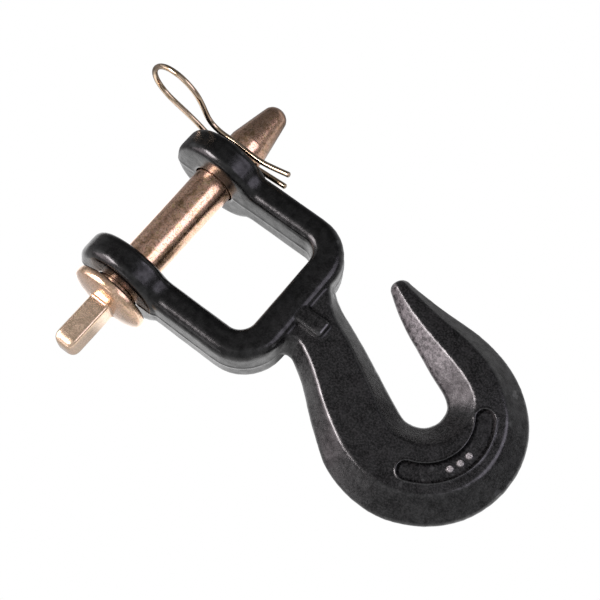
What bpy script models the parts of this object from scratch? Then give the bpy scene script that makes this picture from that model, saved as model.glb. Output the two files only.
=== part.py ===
"""Clevis safety chain hook: a one-piece black forging, a plated hitch pin and its spring clip.

Frame: metres, +Z up. The origin is the middle of the clevis floor, the flat face inside the fork.
+X runs from the clevis floor towards the hook, +Y runs along the pin towards its tapered nose, and
the forging's parting plane is Z = 0.
"""
import math

import bmesh
import bpy
import numpy as np
from mathutils import Matrix, Vector

MM = 0.001

# Hitch pin: a half-inch shank with a collar, a tab handle and a tapered nose.
PIN_RADIUS = 6.35 * MM
PIN_BORE_RADIUS = 6.75 * MM
COLLAR_RADIUS = 12.3 * MM
COLLAR_FACE_Y = -28.4 * MM
COLLAR_RIM = 1.9 * MM
COLLAR_DOME = 2.9 * MM
TAB_WIDTH = 6.9 * MM
TAB_HEIGHT = 8.0 * MM
TAB_DOME_Y = -47.0 * MM
TAB_DOME = 2.8 * MM
TAB_EDGE = 1.0 * MM
TAPER_START_Y = 33.5 * MM
NOSE_START_Y = 45.6 * MM
NOSE_RADIUS = 4.1 * MM
NOSE_END_Y = 49.2 * MM
PIN_SIDES = 56

# Spring clip: round wire, with its straight leg in the pin's cross hole.
WIRE_RADIUS = 0.85 * MM
CROSS_HOLE_RADIUS = 1.3 * MM
CLIP_Y = 28.8 * MM
CLIP_TILT = math.radians(6.0)
CLIP_POINTS = 76

# Fork: two arms and a base of one bar height, with a round ear at each arm's end.
YOKE_DEPTH = 39.7 * MM
FORK_GAP = 33.2 * MM
ARM_THICKNESS = 9.3 * MM
ARM_INSET = 0.1 * MM
BASE_THICKNESS = 9.5 * MM
BAR_HALF_HEIGHT = 8.1 * MM
BAR_EDGE_RADIUS = 3.0 * MM
FLOOR_EDGE_RADIUS = 1.8 * MM
BAR_DRAFT = 0.3 * MM
INNER_CORNER_RADIUS = 5.0 * MM
OUTER_CORNER_RADIUS = 13.8 * MM
EAR_RADIUS = 15.0 * MM
EAR_THICKNESS = 10.0 * MM
EAR_EDGE = 2.6 * MM
EAR_DRAFT = math.tan(math.radians(2.0))
SHOULDER_RADIUS = 7.5 * MM
SHOULDER_SINK = 0.06 * MM

# Ribs on the neck, one on each side of the parting plane.
RIB_END_X = 17.1 * MM
RIB_CENTRE_Y = -1.9 * MM
RIB_WIDTH = 5.4 * MM
RIB_TOP = 7.9 * MM
RIB_EDGE = 1.0 * MM

# Hook body.
HOOK_HALF_THICKNESS = 6.5 * MM
PARTING_LAND = 0.8 * MM
HOOK_EDGE_RADIUS = 1.7 * MM
THROAT_CENTRE = Vector((49.8 * MM, -0.25 * MM))
THROAT_RADIUS = 7.05 * MM
BOWL_CENTRE = Vector((52.4 * MM, -4.1 * MM))
BOWL_RADIUS = 29.6 * MM
HOOK_SECTIONS = 84
TIP_SECTIONS = 6

# Marking recess sunk into the upper face of the bowl, with plain round pips in place of lettering.
RECESS_RADIUS = 16.8 * MM
RECESS_WIDTH = 5.6 * MM
RECESS_DEPTH = 0.8 * MM
RECESS_FLARE = 0.45
RECESS_START = math.radians(-70.0)
RECESS_END = math.radians(32.5)
PIP_RADIUS = 1.2 * MM
PIP_HEIGHT = 0.6 * MM
PIP_ANGLES = (-29.0, -18.0, -7.0)


def clear_scene():
    for thing in list(bpy.data.objects):
        bpy.data.objects.remove(thing, do_unlink=True)


def material(name, colour, roughness, metallic):
    made = bpy.data.materials.new(name)
    made.use_nodes = True
    shader = made.node_tree.nodes["Principled BSDF"]
    shader.inputs["Base Color"].default_value = (*colour, 1.0)
    shader.inputs["Roughness"].default_value = roughness
    shader.inputs["Metallic"].default_value = metallic
    return made


def add_object(name, mesh_or_curve, finish=None):
    made = bpy.data.objects.new(name, mesh_or_curve)
    bpy.context.scene.collection.objects.link(made)
    if finish is not None:
        mesh_or_curve.materials.append(finish)
    return made


def object_from_bmesh(name, mesh_builder):
    mesh = bpy.data.meshes.new(name)
    mesh_builder.to_mesh(mesh)
    mesh_builder.free()
    return add_object(name, mesh)


def apply_boolean(target, tool, operation):
    """Join or cut target with tool, and remove the tool."""
    modifier = target.modifiers.new(operation.lower(), "BOOLEAN")
    modifier.operation = operation
    modifier.solver = "EXACT"
    modifier.object = tool
    bpy.context.view_layer.update()
    graph = bpy.context.evaluated_depsgraph_get()
    result = bpy.data.meshes.new_from_object(target.evaluated_get(graph))
    target.modifiers.clear()
    target.data = result
    bpy.data.objects.remove(tool, do_unlink=True)


def weld(target, distance=0.02 * MM):
    """Merge the near-coincident points that a Boolean leaves behind."""
    builder = bmesh.new()
    builder.from_mesh(target.data)
    bmesh.ops.remove_doubles(builder, verts=builder.verts, dist=distance)
    bmesh.ops.dissolve_degenerate(builder, edges=builder.edges, dist=distance / 2)
    builder.to_mesh(target.data)
    builder.free()


def shade(target, finish, angle=35.0):
    target.data.materials.clear()
    target.data.materials.append(finish)
    target.data.shade_smooth()
    target.data.set_sharp_from_angle(angle=math.radians(angle))


def rounded_outline(corners, radii, steps):
    """Replace each corner that has a radius by an arc of steps + 1 points."""
    outline = []
    count = len(corners)
    for index, corner in enumerate(corners):
        corner = Vector(corner)
        if radii[index] == 0:
            outline.append(corner)
            continue
        before = (Vector(corners[index - 1]) - corner).normalized()
        after = (Vector(corners[(index + 1) % count]) - corner).normalized()
        half_angle = before.angle(after) / 2
        reach = radii[index] / math.tan(half_angle)
        centre = corner + (before + after).normalized() * radii[index] / math.sin(half_angle)
        first = corner + before * reach - centre
        last = corner + after * reach - centre
        sweep = first.angle(last)
        turn = math.copysign(sweep, first.x * last.y - first.y * last.x)
        for step in range(steps + 1):
            angle = turn * step / steps
            swung = Vector((first.x * math.cos(angle) - first.y * math.sin(angle),
                            first.x * math.sin(angle) + first.y * math.cos(angle)))
            outline.append(centre + swung)
    return outline


def skin(name, sections, close_ends=True):
    """Bridge a row of closed sections, each with the same number of points, into one shell."""
    builder = bmesh.new()
    rings = [[builder.verts.new(point) for point in section] for section in sections]
    for ring, following in zip(rings, rings[1:]):
        count = len(ring)
        for index in range(count):
            after = (index + 1) % count
            builder.faces.new((ring[index], ring[after], following[after], following[index]))
    if close_ends:
        builder.faces.new(list(reversed(rings[0])))
        builder.faces.new(rings[-1])
    bmesh.ops.recalc_face_normals(builder, faces=builder.faces)
    return object_from_bmesh(name, builder)


def spline_through(knots, values, at):
    """Natural cubic spline through values at knots, read at the given places."""
    knots = np.asarray(knots, float)
    values = np.asarray(values, float).reshape(len(knots), -1)
    gaps = np.diff(knots)
    slopes = np.diff(values, axis=0) / gaps[:, None]
    system = np.eye(len(knots))
    right = np.zeros_like(values)
    for row in range(1, len(knots) - 1):
        system[row, row - 1:row + 2] = (gaps[row - 1], 2 * (gaps[row - 1] + gaps[row]), gaps[row])
        right[row] = 6 * (slopes[row] - slopes[row - 1])
    bend = np.linalg.solve(system, right)
    spans = np.clip(np.searchsorted(knots, at, side="right") - 1, 0, len(gaps) - 1)
    result = []
    for place, span in zip(at, spans):
        gap = gaps[span]
        left = (knots[span + 1] - place) / gap
        ahead = (place - knots[span]) / gap
        value = left * values[span] + ahead * values[span + 1]
        value = value + (left ** 3 - left) * bend[span] * gap ** 2 / 6
        value = value + (ahead ** 3 - ahead) * bend[span + 1] * gap ** 2 / 6
        result.append(value)
    return np.array(result)


def polar(centre, radius, degrees):
    angle = math.radians(degrees)
    return (centre.x + radius * math.cos(angle), centre.y + radius * math.sin(angle))


# ---------------------------------------------------------------- hook body

def hook_stations():
    """Inner point, outer point, inner bevel, outer bevel and half thickness, from neck to point."""
    rows = []

    def add(inner, outer, inner_bevel, outer_bevel, half_thickness=HOOK_HALF_THICKNESS):
        rows.append((*inner, *outer, inner_bevel * MM, outer_bevel * MM, half_thickness))

    # Neck, which starts inside the fork's base and flares into it.
    add((4.5 * MM, 14.0 * MM), (4.5 * MM, -15.6 * MM), 1.8, 1.8)
    add((8.4 * MM, 12.9 * MM), (8.6 * MM, -13.4 * MM), 2.2, 2.4)
    add((11.0 * MM, 10.9 * MM), (11.4 * MM, -11.9 * MM), 3.0, 3.1)
    add((14.3 * MM, 8.6 * MM), (15.2 * MM, -13.1 * MM), 4.2, 3.8)
    add((21.2 * MM, 5.5 * MM), (20.6 * MM, -16.6 * MM), 4.6, 4.1)
    add((30.6 * MM, 1.2 * MM), (27.6 * MM, -22.4 * MM), 4.9, 4.6)
    add((39.6 * MM, -3.2 * MM), (35.2 * MM, -28.0 * MM), 5.6, 5.4)
    # Bowl: both sides are arcs.
    throat_angles = (-115, -88, -62, -38, -16, 6, 30)
    bowl_angles = (-112, -90, -68, -44, -20, 6, 32)
    bevels = ((6.2, 6.1), (6.4, 6.4), (6.6, 6.5), (6.8, 6.6), (7.0, 6.8), (7.1, 7.0), (7.2, 7.0))
    for throat, bowl, bevel in zip(throat_angles, bowl_angles, bevels):
        add(polar(THROAT_CENTRE, THROAT_RADIUS, throat), polar(BOWL_CENTRE, BOWL_RADIUS, bowl), *bevel)
    # Point, tapering in width and in thickness.
    add((53.0 * MM, 5.6 * MM), (69.6 * MM, 19.6 * MM), 7.0, 7.0)
    add((47.6 * MM, 7.9 * MM), (61.0 * MM, 24.0 * MM), 6.5, 6.7, 6.1 * MM)
    add((41.0 * MM, 11.1 * MM), (50.6 * MM, 26.0 * MM), 5.1, 6.0, 5.2 * MM)
    add((34.0 * MM, 14.4 * MM), (40.6 * MM, 26.1 * MM), 3.9, 4.5, 4.3 * MM)
    add((27.6 * MM, 18.2 * MM), (32.0 * MM, 26.4 * MM), 2.6, 3.0, 3.5 * MM)
    add((23.5 * MM, 21.2 * MM), (26.1 * MM, 26.8 * MM), 1.8, 1.9, 2.8 * MM)
    return np.array(rows)


def hook_section(inner, outer, inner_bevel, outer_bevel, half_thickness, edge_radius):
    """Eight-sided forged section between two outline points, as points in space."""
    across = outer - inner
    width = across.length
    land = min(PARTING_LAND, half_thickness * 0.3)
    corners = [(0, -land), (0, land), (inner_bevel, half_thickness), (width - outer_bevel, half_thickness),
               (width, land), (width, -land), (width - outer_bevel, -half_thickness),
               (inner_bevel, -half_thickness)]
    side_radius = land * 1.6
    radii = [side_radius, side_radius, edge_radius, edge_radius] * 2
    outline = rounded_outline(corners, radii, 2)
    direction = across / width
    return [Vector((inner.x + direction.x * s, inner.y + direction.y * s, z)) for s, z in outline]


def hook_body():
    rows = hook_stations()
    middles = (rows[:, 0:2] + rows[:, 2:4]) / 2
    travelled = np.concatenate(([0.0], np.cumsum(np.linalg.norm(np.diff(middles, axis=0), axis=1))))
    places = np.linspace(0.0, travelled[-1], HOOK_SECTIONS)
    smooth = spline_through(travelled, rows, places)
    sections = []
    for row in smooth:
        inner, outer = Vector(row[0:2]), Vector(row[2:4])
        sections.append(hook_section(inner, outer, row[4], row[5], row[6], HOOK_EDGE_RADIUS))
    # Round off the point: the last section shrinks along a quarter circle.
    last = smooth[-1]
    inner, outer = Vector(last[0:2]), Vector(last[2:4])
    middle = (inner + outer) / 2
    half = (outer - inner) / 2
    forward = Vector((half.y, -half.x)).normalized()
    if forward.x > 0:
        forward = -forward
    reach = half.length * 0.9
    for step in range(1, TIP_SECTIONS + 1):
        angle = math.radians(80.0) * step / TIP_SECTIONS
        shrink = math.cos(angle)
        centre = middle + forward * reach * math.sin(angle)
        sections.append(hook_section(centre - half * shrink, centre + half * shrink, last[4] * shrink,
                                     last[5] * shrink, last[6] * shrink, HOOK_EDGE_RADIUS * shrink * 0.6))
    return skin("hook_body", sections)


# ---------------------------------------------------------------- fork

def bar_section(position, outward, thickness, inset, inner_edge):
    """Section of the fork's bar: drafted from the parting plane, with rounded edges."""
    high = BAR_HALF_HEIGHT
    outer_edge = BAR_EDGE_RADIUS
    corners = [(0, 0), (inset, high), (thickness - inset, high), (thickness, 0),
               (thickness - inset, -high), (inset, -high)]
    radii = [0, inner_edge, outer_edge, 0, outer_edge, inner_edge]
    outline = rounded_outline(corners, radii, 5)
    return [Vector((position.x + outward.x * s, position.y + outward.y * s, z)) for s, z in outline]


def fork_bar():
    """The U-shaped bar: one arm, the base and the other arm, swept along the fork's inner wall."""
    half_gap = FORK_GAP / 2 + ARM_INSET
    arm_thickness = ARM_THICKNESS - ARM_INSET
    corner_centre_x = -INNER_CORNER_RADIUS
    corner_centre_y = half_gap - INNER_CORNER_RADIUS
    outer_centre_x = BASE_THICKNESS - OUTER_CORNER_RADIUS
    outer_centre_y = half_gap + arm_thickness - OUTER_CORNER_RADIUS
    arm_start_x = -YOKE_DEPTH + 2.0 * MM
    half_side = []
    for share in np.linspace(0.0, 1.0, 9):
        x = arm_start_x + (corner_centre_x - arm_start_x) * share
        half_side.append((Vector((x, half_gap)), Vector((x, half_gap + arm_thickness)), BAR_DRAFT,
                          BAR_EDGE_RADIUS))
    for degrees in np.linspace(80.0, 0.0, 9):
        angle = math.radians(degrees)
        ray = Vector((math.cos(angle), math.sin(angle)))
        inner = Vector((corner_centre_x, corner_centre_y)) + ray * INNER_CORNER_RADIUS
        outer = Vector((outer_centre_x, outer_centre_y)) + ray * OUTER_CORNER_RADIUS
        share = degrees / 90.0
        inner_edge = FLOOR_EDGE_RADIUS + (BAR_EDGE_RADIUS - FLOOR_EDGE_RADIUS) * share
        half_side.append((inner, outer, BAR_DRAFT * share, inner_edge))
    half_side.append((Vector((0.0, 6.0 * MM)), Vector((BASE_THICKNESS, 6.0 * MM)), 0.0, FLOOR_EDGE_RADIUS))
    mirrored = [(Vector((a.x, -a.y)), Vector((b.x, -b.y)), c, d) for a, b, c, d in reversed(half_side)]
    sections = []
    for inner, outer, inset, inner_edge in half_side + mirrored:
        across = outer - inner
        sections.append(bar_section(inner, across.normalized(), across.length, inset, inner_edge))
    return skin("fork_bar", sections)


def upright_plate(name, outline, near_y, far_y, edge, draft):
    """Extrude an XZ outline along Y, round its rims, and draft its faces from the parting plane."""
    builder = bmesh.new()
    near = [builder.verts.new((x, near_y, z)) for x, z in outline]
    face = builder.faces.new(near)
    grown = bmesh.ops.extrude_face_region(builder, geom=[face])
    moved = [item for item in grown["geom"] if isinstance(item, bmesh.types.BMVert)]
    bmesh.ops.translate(builder, verts=moved, vec=(0, far_y - near_y, 0))
    rims = [item for item in builder.edges
            if abs(item.verts[0].co.y - item.verts[1].co.y) < 1e-7]
    if edge > 0:
        bmesh.ops.bevel(builder, geom=rims, offset=edge, segments=5, profile=0.5, affect="EDGES")
    cut_through = list(builder.verts) + list(builder.edges) + list(builder.faces)
    bmesh.ops.bisect_plane(builder, geom=cut_through, dist=1e-7, plane_co=(0, 0, 0), plane_no=(0, 0, 1))
    middle = (near_y + far_y) / 2
    half = abs(far_y - near_y) / 2
    for vert in builder.verts:
        vert.co.y = middle + (vert.co.y - middle) * (1 - draft * abs(vert.co.z) / half)
    bmesh.ops.recalc_face_normals(builder, faces=builder.faces)
    return object_from_bmesh(name, builder)


def circle_outline(radius, sides, centre_x):
    angles = [math.tau * step / sides for step in range(sides)]
    return [(centre_x + radius * math.cos(angle), radius * math.sin(angle)) for angle in angles]


def shoulder_outline():
    """The arm's side view near its ear: the concave shoulders that blend the ear into the bar."""
    height = BAR_HALF_HEIGHT - SHOULDER_SINK
    fillet_height = height + SHOULDER_RADIUS
    centre_x = math.sqrt((EAR_RADIUS + SHOULDER_RADIUS) ** 2 - fillet_height ** 2)
    touch = math.atan2(fillet_height, centre_x)
    upper = []
    for step in range(9):
        angle = math.pi + touch + (math.pi / 2 - touch) * step / 8
        upper.append((-YOKE_DEPTH + centre_x + SHOULDER_RADIUS * math.cos(angle),
                      fillet_height + SHOULDER_RADIUS * math.sin(angle)))
    inner_x = -YOKE_DEPTH
    rise = upper[0][1] - 0.3 * MM
    lower = [(x, -z) for x, z in reversed(upper)]
    return [(inner_x, rise)] + upper + lower + [(inner_x, -rise)]


def turned(name, profile, sides):
    """Turn a profile of (y, radius) points about the pin's axis."""
    builder = bmesh.new()
    axis_x = -YOKE_DEPTH
    rings = []
    for y, radius in profile:
        rings.append([builder.verts.new((axis_x + radius * math.cos(math.tau * step / sides), y,
                                         radius * math.sin(math.tau * step / sides)))
                      for step in range(sides)])
    for ring, following in zip(rings, rings[1:]):
        for index in range(sides):
            after = (index + 1) % sides
            builder.faces.new((ring[index], ring[after], following[after], following[index]))
    builder.faces.new(rings[0])
    builder.faces.new(rings[-1])
    bmesh.ops.recalc_face_normals(builder, faces=builder.faces)
    return object_from_bmesh(name, builder)


def block(name, low, high, edge, segments=2):
    builder = bmesh.new()
    size = Vector(high) - Vector(low)
    middle = (Vector(high) + Vector(low)) / 2
    bmesh.ops.create_cube(builder, size=1.0, matrix=Matrix.Translation(middle) @ Matrix.Diagonal((*size, 1)))
    bmesh.ops.bevel(builder, geom=list(builder.edges), offset=edge, segments=segments, profile=0.5,
                    affect="EDGES")
    return object_from_bmesh(name, builder)


def marking_recess():
    """Cutter for the curved marking recess: a slot with round ends, lying on an arc."""
    half = RECESS_WIDTH / 2
    flare = RECESS_DEPTH * RECESS_FLARE
    floor = HOOK_HALF_THICKNESS - RECESS_DEPTH
    ceiling = HOOK_HALF_THICKNESS + RECESS_DEPTH

    def outline(half_width):
        points = []
        steps = 20
        for step in range(steps + 1):
            angle = RECESS_START + (RECESS_END - RECESS_START) * step / steps
            ray = Vector((math.cos(angle), math.sin(angle)))
            points.append(BOWL_CENTRE + ray * (RECESS_RADIUS + half_width))
        for end, sign in ((RECESS_END, 1), (RECESS_START, -1)):
            ray = Vector((math.cos(end), math.sin(end)))
            ahead = Vector((-ray.y, ray.x)) * sign
            centre = BOWL_CENTRE + ray * RECESS_RADIUS
            for step in range(1, 6):
                turn = math.pi * step / 6
                swung = ray * sign * math.cos(turn) + ahead * math.sin(turn)
                points.append(centre + swung * half_width)
            if sign > 0:
                for back in range(steps, -1, -1):
                    angle = RECESS_START + (RECESS_END - RECESS_START) * back / steps
                    inward = Vector((math.cos(angle), math.sin(angle)))
                    points.append(BOWL_CENTRE + inward * (RECESS_RADIUS - half_width))
        return points

    sections = []
    for height, half_width in ((floor, half - flare), (ceiling, half + flare)):
        sections.append([Vector((p.x, p.y, height)) for p in outline(half_width)])
    return skin("marking_recess", sections)


def marking_pip(degrees):
    """A plain round pip standing on the floor of the recess."""
    centre = polar(BOWL_CENTRE, RECESS_RADIUS, degrees)
    floor = HOOK_HALF_THICKNESS - RECESS_DEPTH
    sections = []
    for height, radius in ((floor - PIP_HEIGHT, PIP_RADIUS), (floor + PIP_HEIGHT * 0.5, PIP_RADIUS),
                           (floor + PIP_HEIGHT, PIP_RADIUS * 0.6)):
        outline = circle_outline(radius, 12, centre[0])
        sections.append([Vector((x, centre[1] + rise, height)) for x, rise in outline])
    return skin("marking_pip", sections)


def forging(finish):
    """The hook and its fork are one drop forging."""
    body = fork_bar()
    near = FORK_GAP / 2
    arm_far = near + ARM_THICKNESS
    for side in (1, -1):
        disc = circle_outline(EAR_RADIUS, 64, -YOKE_DEPTH)
        ear = upright_plate("ear", disc, side * near, side * (near + EAR_THICKNESS), EAR_EDGE, EAR_DRAFT)
        apply_boolean(body, ear, "UNION")
        shoulder = upright_plate("shoulder", shoulder_outline(), side * (near + ARM_INSET + BAR_DRAFT),
                                 side * (arm_far - BAR_DRAFT), BAR_EDGE_RADIUS, 0)
        apply_boolean(body, shoulder, "UNION")
    apply_boolean(body, hook_body(), "UNION")
    for side in (1, -1):
        low = (BASE_THICKNESS - 2.0 * MM, RIB_CENTRE_Y - RIB_WIDTH / 2, min(side * RIB_TOP, side * 3.0 * MM))
        high = (RIB_END_X, RIB_CENTRE_Y + RIB_WIDTH / 2, max(side * RIB_TOP, side * 3.0 * MM))
        apply_boolean(body, block("rib", low, high, RIB_EDGE, 3), "UNION")
    apply_boolean(body, marking_recess(), "DIFFERENCE")
    for degrees in PIP_ANGLES:
        apply_boolean(body, marking_pip(degrees), "UNION")
    reach = near + EAR_THICKNESS + 3.0 * MM
    apply_boolean(body, turned("pin_bore", ((-reach, PIN_BORE_RADIUS), (reach, PIN_BORE_RADIUS)), PIN_SIDES),
                  "DIFFERENCE")
    weld(body)
    body.name = "hook_forging"
    shade(body, finish)
    return body


# ---------------------------------------------------------------- pin and clip

def pin_profile():
    """Radius along the pin, from the domed collar to the rounded nose."""
    profile = []
    dome_start = COLLAR_FACE_Y - COLLAR_RIM
    for degrees in (80, 62, 45, 30, 16, 0):
        angle = math.radians(degrees)
        profile.append((dome_start - COLLAR_DOME * math.sin(angle), COLLAR_RADIUS * math.cos(angle)))
    profile.append((COLLAR_FACE_Y - 0.5 * MM, COLLAR_RADIUS))
    profile.append((COLLAR_FACE_Y, COLLAR_RADIUS - 0.5 * MM))
    profile.append((COLLAR_FACE_Y, PIN_RADIUS + 0.35 * MM))
    profile.append((COLLAR_FACE_Y + 0.4 * MM, PIN_RADIUS))
    profile.append((TAPER_START_Y - 1.0 * MM, PIN_RADIUS))
    profile.append((TAPER_START_Y + 0.6 * MM, PIN_RADIUS - 0.12 * MM))
    profile.append((NOSE_START_Y, NOSE_RADIUS))
    for degrees in (20, 38, 54, 68, 80):
        angle = math.radians(degrees)
        profile.append((NOSE_START_Y + (NOSE_END_Y - NOSE_START_Y) * math.sin(angle),
                        NOSE_RADIUS * math.cos(angle)))
    return profile


def tab_handle():
    """The flattened handle beyond the collar: a rounded bar with a domed end."""
    places = [(COLLAR_FACE_Y - COLLAR_RIM, 1.0), (TAB_DOME_Y, 1.0)]
    for degrees in (25, 45, 62, 76):
        angle = math.radians(degrees)
        places.append((TAB_DOME_Y - TAB_DOME * math.sin(angle), math.cos(angle) ** 0.6))
    sections = []
    for y, share in places:
        wide = TAB_WIDTH / 2 * share
        high = TAB_HEIGHT / 2 * share
        corners = [(-wide, -high), (wide, -high), (wide, high), (-wide, high)]
        outline = rounded_outline(corners, [TAB_EDGE * share] * 4, 3)
        sections.append([Vector((point.x - YOKE_DEPTH, y, point.y)) for point in outline])
    return skin("tab_handle", sections)


def hitch_pin(finish):
    body = turned("hitch_pin", pin_profile(), PIN_SIDES)
    apply_boolean(body, tab_handle(), "UNION")
    along = Vector((math.cos(CLIP_TILT), 0, math.sin(CLIP_TILT)))
    centre = Vector((-YOKE_DEPTH, CLIP_Y, 0))
    builder = bmesh.new()
    placed = Matrix.Translation(centre) @ along.to_track_quat("Z", "Y").to_matrix().to_4x4()
    bmesh.ops.create_cone(builder, cap_ends=True, segments=16, radius1=CROSS_HOLE_RADIUS,
                          radius2=CROSS_HOLE_RADIUS, depth=3 * PIN_RADIUS, matrix=placed)
    apply_boolean(body, object_from_bmesh("cross_hole", builder), "DIFFERENCE")
    weld(body)
    # The pin's own origin is on its axis, about which it turns.
    body.data.transform(Matrix.Translation((YOKE_DEPTH, 0, 0)))
    body.location = (-YOKE_DEPTH, 0, 0)
    shade(body, finish)
    return body


def clip_route():
    """Centre line of the wire, as (along the cross hole, along the pin, up) from the hole's middle."""
    return ((18.2, 0.0, 0.0), (12.0, 0.0, 0.0), (6.0, 0.0, 0.0), (0.0, 0.0, 0.0), (-7.6, 0.0, 0.0),
            (-11.7, 0.0, 2.0), (-16.2, 0.0, 5.4), (-21.8, 0.0, 8.6), (-26.7, 0.0, 11.8), (-29.4, 0.0, 17.4),
            (-27.6, 0.0, 23.2), (-22.6, 0.0, 26.8), (-17.0, 0.0, 26.2), (-12.6, 0.0, 22.2),
            (-10.6, 0.0, 16.0), (-8.6, 0.0, 10.4), (-5.2, 0.0, 8.4), (-0.4, 0.0, 7.9),
            (4.6, -0.3, 7.5), (10.4, -0.6, 7.4), (15.4, -0.1, 7.4), (20.2, 0.5, 7.6))


def spring_clip(finish):
    route = np.array(clip_route()) * MM
    steps = np.linalg.norm(np.diff(route, axis=0), axis=1)
    travelled = np.concatenate(([0.0], np.cumsum(steps)))
    smooth = spline_through(travelled, route, np.linspace(0.0, travelled[-1], CLIP_POINTS))
    along = Vector((math.cos(CLIP_TILT), 0, math.sin(CLIP_TILT)))
    up = Vector((-math.sin(CLIP_TILT), 0, math.cos(CLIP_TILT)))
    curve = bpy.data.curves.new("spring_clip", "CURVE")
    curve.dimensions = "3D"
    curve.bevel_depth = WIRE_RADIUS
    curve.bevel_resolution = 3
    curve.use_fill_caps = True
    curve.resolution_u = 1
    spline = curve.splines.new("POLY")
    spline.points.add(len(smooth) - 1)
    for point, (reach, sideways, rise) in zip(spline.points, smooth):
        place = along * reach + up * rise + Vector((0, sideways, 0))
        point.co = (*place, 1.0)
    clip = add_object("spring_clip", curve, finish)
    clip.location = (-YOKE_DEPTH, CLIP_Y, 0)
    return clip


def main():
    clear_scene()
    forging(material("black_forging", (0.012, 0.012, 0.013), 0.38, 0.0))
    plated = material("yellow_zinc", (0.62, 0.42, 0.24), 0.28, 1.0)
    hitch_pin(plated)
    spring_clip(material("spring_wire", (0.55, 0.40, 0.25), 0.25, 1.0))


main()
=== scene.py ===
"""Looks for the clevis safety chain hook: forged black steel, a plated pin and its spring clip.

Everything is in metres in the CAD frame: the origin is the middle of the clevis floor, +X runs
towards the hook, +Y along the pin towards its nose, and the forging's parting plane is Z = 0.
"""
import math

import bmesh
import bpy
import numpy as np
from mathutils import Matrix, Vector, noise


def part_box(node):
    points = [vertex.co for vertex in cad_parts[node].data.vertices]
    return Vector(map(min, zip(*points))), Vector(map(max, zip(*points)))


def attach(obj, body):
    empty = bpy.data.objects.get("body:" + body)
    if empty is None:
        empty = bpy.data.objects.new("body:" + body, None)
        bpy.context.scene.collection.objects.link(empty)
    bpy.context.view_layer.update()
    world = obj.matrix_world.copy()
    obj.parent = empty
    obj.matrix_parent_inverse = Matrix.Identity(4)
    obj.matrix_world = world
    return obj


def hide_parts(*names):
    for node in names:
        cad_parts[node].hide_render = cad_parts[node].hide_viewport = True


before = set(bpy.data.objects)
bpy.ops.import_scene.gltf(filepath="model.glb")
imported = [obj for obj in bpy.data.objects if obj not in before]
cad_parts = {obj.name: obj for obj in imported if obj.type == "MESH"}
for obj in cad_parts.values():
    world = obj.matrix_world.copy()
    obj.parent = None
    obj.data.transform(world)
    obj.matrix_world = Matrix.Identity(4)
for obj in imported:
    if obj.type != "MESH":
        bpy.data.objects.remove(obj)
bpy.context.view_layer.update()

MM = 0.001

# Sizes taken from the CAD.
PIN_AXIS_X = -39.7 * MM
PIN_RADIUS = 6.35 * MM
BORE_RADIUS = 6.75 * MM
COLLAR_FACE_Y = -28.4 * MM
TAPER_START_Y = 33.5 * MM
NOSE_START_Y = 45.6 * MM
NOSE_RADIUS = 4.1 * MM
CLIP_Y = 28.8 * MM
CLIP_TILT = math.radians(6.0)
WIRE_RADIUS = 0.85 * MM
CROSS_HOLE_RADIUS = 1.3 * MM
HOOK_FACE_Z = 6.5 * MM
BOWL_CENTRE = (52.4 * MM, -4.1 * MM)
RECESS_RADIUS = 16.8 * MM
RECESS_WIDTH = 5.6 * MM
RECESS_DEPTH = 0.8 * MM
RECESS_START = math.radians(-70.0)
RECESS_END = math.radians(32.5)
PIP_RADIUS = 1.2 * MM
PIP_HEIGHT = 0.6 * MM
PIP_ANGLES = (-29.0, -18.0, -7.0)

# Centre line of the clip's wire: along the cross hole, along the pin, up; millimetres.
CLIP_ROUTE = (
    (18.2, 0.0, 0.0), (12.0, 0.0, 0.0), (6.0, 0.0, 0.0), (0.0, 0.0, 0.0), (-7.6, 0.0, 0.0),
    (-11.7, 0.0, 2.0), (-16.2, 0.0, 5.4), (-21.8, 0.0, 8.6), (-26.7, 0.0, 11.8),
    (-29.4, 0.0, 17.4), (-27.6, 0.0, 23.2), (-22.6, 0.0, 26.8), (-17.0, 0.0, 26.2),
    (-12.6, 0.0, 22.2), (-10.6, 0.0, 16.0), (-8.6, 0.0, 10.4), (-5.2, 0.0, 8.4), (-0.4, 0.0, 7.9),
    (4.6, -0.3, 7.5), (10.4, -0.6, 7.4), (15.4, -0.1, 7.4), (20.2, 0.5, 7.6),
)

# Meshes: how fine, how soft at the edges, how many triangles the forging keeps before its recess
# is refined, and how far an edge bends before it counts as folded.
WELD_DISTANCE = 0.002 * MM
FORGING_VOXEL = 0.36 * MM
FORGING_SMOOTHING = 4
FORGING_FACES = 152000
PIN_VOXEL = 0.28 * MM
PIN_SMOOTHING = 5
REFINE_ROUNDS = 2
REFINE_SMOOTHING = 8
FOLD_ANGLE = math.radians(100.0)
FOLD_ROUNDS = 6

# Forged skin: waves as (height in millimetres, size, seed), then the flash line round the walls.
WAVES = ((0.055, 9.0 * MM, 1), (0.022, 2.4 * MM, 2))
BORE_CLEAR = 0.35 * MM
BORE_CLEAR_FULL = 0.9 * MM
WALL_NORMAL = (0.45, 0.80)
FLASH_HALF_WIDTH = 0.60 * MM
FLASH_EDGE = (0.55 * FLASH_HALF_WIDTH, 1.15 * FLASH_HALF_WIDTH)
FLASH_HEIGHT = 0.12 * MM
FLASH_WANDER = 0.12 * MM
FLASH_WANDER_SIZE = 12.0 * MM
FLASH_TORN = 0.35
FLASH_TORN_SIZE = 1.6 * MM

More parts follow.
